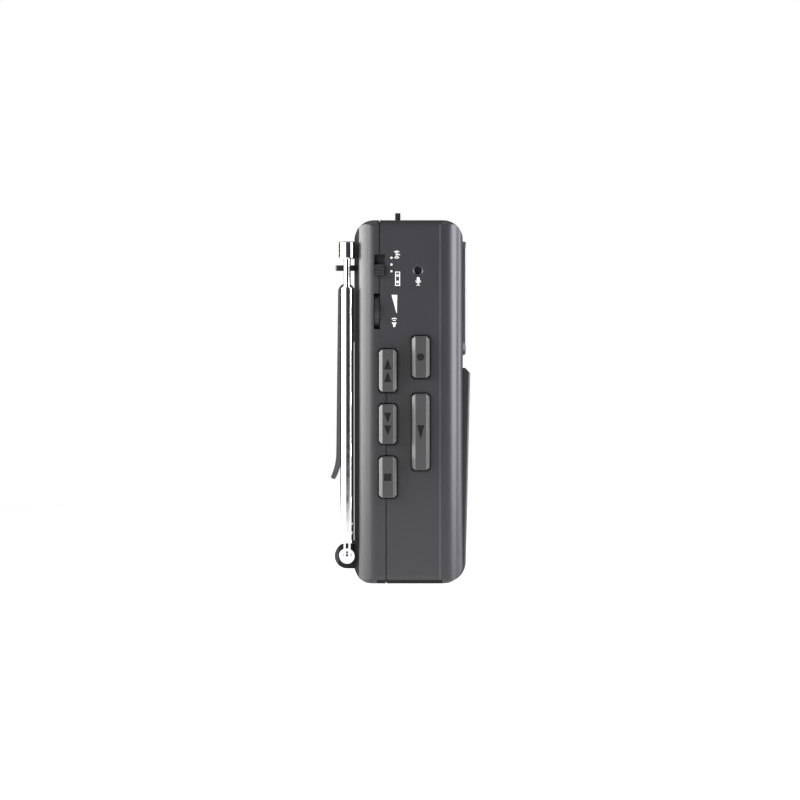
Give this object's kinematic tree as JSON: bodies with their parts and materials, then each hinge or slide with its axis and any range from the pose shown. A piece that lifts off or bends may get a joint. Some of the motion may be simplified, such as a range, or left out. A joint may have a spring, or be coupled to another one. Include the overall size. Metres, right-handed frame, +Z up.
{
  "type": "microcassette recorder with fm radio",
  "caption": "Hand-held microcassette recorder with FM radio: upright rounded case, side tape keys, thumbwheels, hinged cassette door, belt clip and telescopic rod antenna.",
  "frame": {"origin": "centre of the flat bottom of the case", "axes": "+Z up along the case, +X out of the cassette door, -Y out of the key side"},
  "size_m": [0.0458, 0.0684, 0.1217],
  "materials": {
    "case_plastic": "satin moulded, charcoal",
    "key_plastic": "satin moulded, dark grey",
    "black_plastic": "fine matt, black",
    "clip_plastic": "satin moulded, dark grey",
    "panel_metal": "brushed, dark anodised",
    "window": "clear, smoky",
    "antenna_chrome": "polished",
    "steel": "zinc plated",
    "brass": "turned",
    "rubber": "matt",
    "board": "varnished laminate",
    "component": "moulded",
    "white_plastic": "natural moulded",
    "cell": "printed foil",
    "paper_cone": "pressed pulp",
    "magnet": "sintered"
  },
  "bodies": {
    "root": {"rear_shell": "case_plastic", "centre_shell": "case_plastic", "front_shell": "case_plastic", "front_panel": "panel_metal", "speaker_basket": "steel", "speaker_magnet": "magnet", "speaker_cone": "paper_cone", "main_board": "board", "board_components": "component", "volume_pot": "steel", "slide_switch": "black_plastic", "tuning_capacitor": "white_plastic", "microphone": "component", "mic_boot": "rubber", "earphone_jack": "black_plastic", "batteries": "cell", "battery_contacts": "steel", "belt_clip": "clip_plastic", "belt_clip_screws": "steel", "case_screws": "steel", "chassis": "steel", "chassis_screws": "steel", "reel_bridge": "steel", "deck_posts": "steel", "capstan_bush": "brass", "motor": "steel", "key_bracket": "steel", "door_hinge_pins": "steel", "key_springs": "steel", "drive_belt": "rubber"},
    "cassette_door": {"cassette_door": "case_plastic", "door_window": "window", "cassette_spring": "steel"},
    "battery_door": {"battery_door": "case_plastic"},
    "volume_wheel": {"volume_wheel": "black_plastic"},
    "tuning_wheel": {"tuning_wheel": "black_plastic"},
    "function_knob": {"function_knob": "black_plastic"},
    "head_plate": {"head_plate": "steel", "record_head": "steel", "erase_head": "white_plastic", "roller_pin": "steel"},
    "pinch_roller": {"pinch_roller": "rubber"},
    "flywheel": {"flywheel": "brass", "capstan": "steel"},
    "motor_pulley": {"motor_pulley": "brass"},
    "idler_wheel": {"idler_wheel": "rubber"},
    "supply_reel": {"supply_reel": "white_plastic"},
    "takeup_reel": {"takeup_reel": "white_plastic"},
    "antenna_swivel": {"antenna_stud": "antenna_chrome", "antenna_pin": "antenna_chrome"},
    "antenna_tube": {"antenna_tube": "antenna_chrome"},
    "antenna_middle": {"antenna_middle": "antenna_chrome"},
    "antenna_inner": {"antenna_inner": "antenna_chrome"},
    "antenna_rod": {"antenna_rod": "antenna_chrome", "antenna_cap": "antenna_chrome"},
    "rewind_key": {"rewind_key": "key_plastic"},
    "fast_forward_key": {"fast_forward_key": "key_plastic"},
    "stop_key": {"stop_key": "key_plastic"},
    "record_key": {"record_key": "key_plastic"},
    "play_key": {"play_key": "key_plastic"}
  },
  "joints": [
    {"name": "cassette_door", "type": "hinge", "parent": "root", "child": "cassette_door", "pos_m": [0.0114, 0, 0.007], "axis": [0, 1, 0], "range_deg": [0, 30]},
    {"name": "rewind_key", "type": "slide", "parent": "root", "child": "rewind_key", "axis": [0, 1, 0], "range_m": [0, 0.002], "stiffness_N_per_m": 400, "deforming": ["key_springs"]},
    {"name": "fast_forward_key", "type": "slide", "parent": "root", "child": "fast_forward_key", "axis": [0, 1, 0], "range_m": [0, 0.002], "stiffness_N_per_m": 400, "deforming": ["key_springs"]},
    {"name": "stop_key", "type": "slide", "parent": "root", "child": "stop_key", "axis": [0, 1, 0], "range_m": [0, 0.002], "stiffness_N_per_m": 400, "deforming": ["key_springs"]},
    {"name": "record_key", "type": "slide", "parent": "root", "child": "record_key", "axis": [0, 1, 0], "range_m": [0, 0.002], "stiffness_N_per_m": 400, "deforming": ["key_springs"]},
    {"name": "play_key", "type": "slide", "parent": "root", "child": "play_key", "axis": [0, 1, 0], "range_m": [0, 0.002], "stiffness_N_per_m": 400, "deforming": ["key_springs"]},
    {"name": "head_plate", "type": "slide", "parent": "root", "child": "head_plate", "axis": [0, 1, 0], "range_m": [0, 0.002]},
    {"name": "pinch_roller", "type": "hinge", "parent": "head_plate", "child": "pinch_roller", "pos_m": [0, -0.0152, 0.022], "axis": [1, 0, 0], "continuous": true},
    {"name": "flywheel", "type": "hinge", "parent": "root", "child": "flywheel", "pos_m": [0, -0.009, 0.022], "axis": [1, 0, 0], "continuous": true},
    {"name": "motor_pulley", "type": "hinge", "parent": "root", "child": "motor_pulley", "pos_m": [0, -0.011, 0.055], "axis": [1, 0, 0], "continuous": true},
    {"name": "idler_wheel", "type": "hinge", "parent": "root", "child": "idler_wheel", "pos_m": [0, -0.00456, 0.02369], "axis": [1, 0, 0], "continuous": true},
    {"name": "takeup_reel", "type": "hinge", "parent": "root", "child": "takeup_reel", "pos_m": [0, 0.0055, 0.0275], "axis": [1, 0, 0], "continuous": true},
    {"name": "supply_reel", "type": "hinge", "parent": "root", "child": "supply_reel", "pos_m": [0, 0.0055, 0.0485], "axis": [1, 0, 0], "continuous": true},
    {"name": "volume_wheel", "type": "hinge", "parent": "root", "child": "volume_wheel", "pos_m": [0, -0.0276, 0.0884], "axis": [1, 0, 0], "range_deg": [-140, 140]},
    {"name": "tuning_wheel", "type": "hinge", "parent": "root", "child": "tuning_wheel", "pos_m": [0, -0.005, 0.1093], "axis": [1, 0, 0], "range_deg": [-85, 85]},
    {"name": "function_knob", "type": "slide", "parent": "root", "child": "function_knob", "axis": [0, 0, 1], "range_m": [0, 0.0033]},
    {"name": "battery_door", "type": "slide", "parent": "root", "child": "battery_door", "axis": [0, 0, -1], "range_m": [0, 0.066]},
    {"name": "antenna_swivel", "type": "hinge", "parent": "root", "child": "antenna_swivel", "pos_m": [-0.0203, -0.029, 0.00875], "axis": [0, -1, 0], "range_deg": [0, 180]},
    {"name": "antenna_tilt", "type": "hinge", "parent": "antenna_swivel", "child": "antenna_tube", "pos_m": [-0.0203, -0.029, 0.00875], "axis": [1, 0, 0], "range_deg": [0, 90]},
    {"name": "antenna_middle", "type": "slide", "parent": "antenna_tube", "child": "antenna_middle", "axis": [0, 0, 1], "range_m": [0, 0.07]},
    {"name": "antenna_inner", "type": "slide", "parent": "antenna_middle", "child": "antenna_inner", "axis": [0, 0, 1], "range_m": [0, 0.07]},
    {"name": "antenna_rod", "type": "slide", "parent": "antenna_inner", "child": "antenna_rod", "axis": [0, 0, 1], "range_m": [0, 0.07]}
  ],
  "couplings": [
    {"joint": "head_plate", "follows": "play_key", "ratio": 1},
    {"joint": "motor_pulley", "follows": "flywheel", "ratio": 3.35},
    {"joint": "idler_wheel", "follows": "flywheel", "ratio": -0.7396},
    {"joint": "takeup_reel", "follows": "flywheel", "ratio": 0.25}
  ]
}
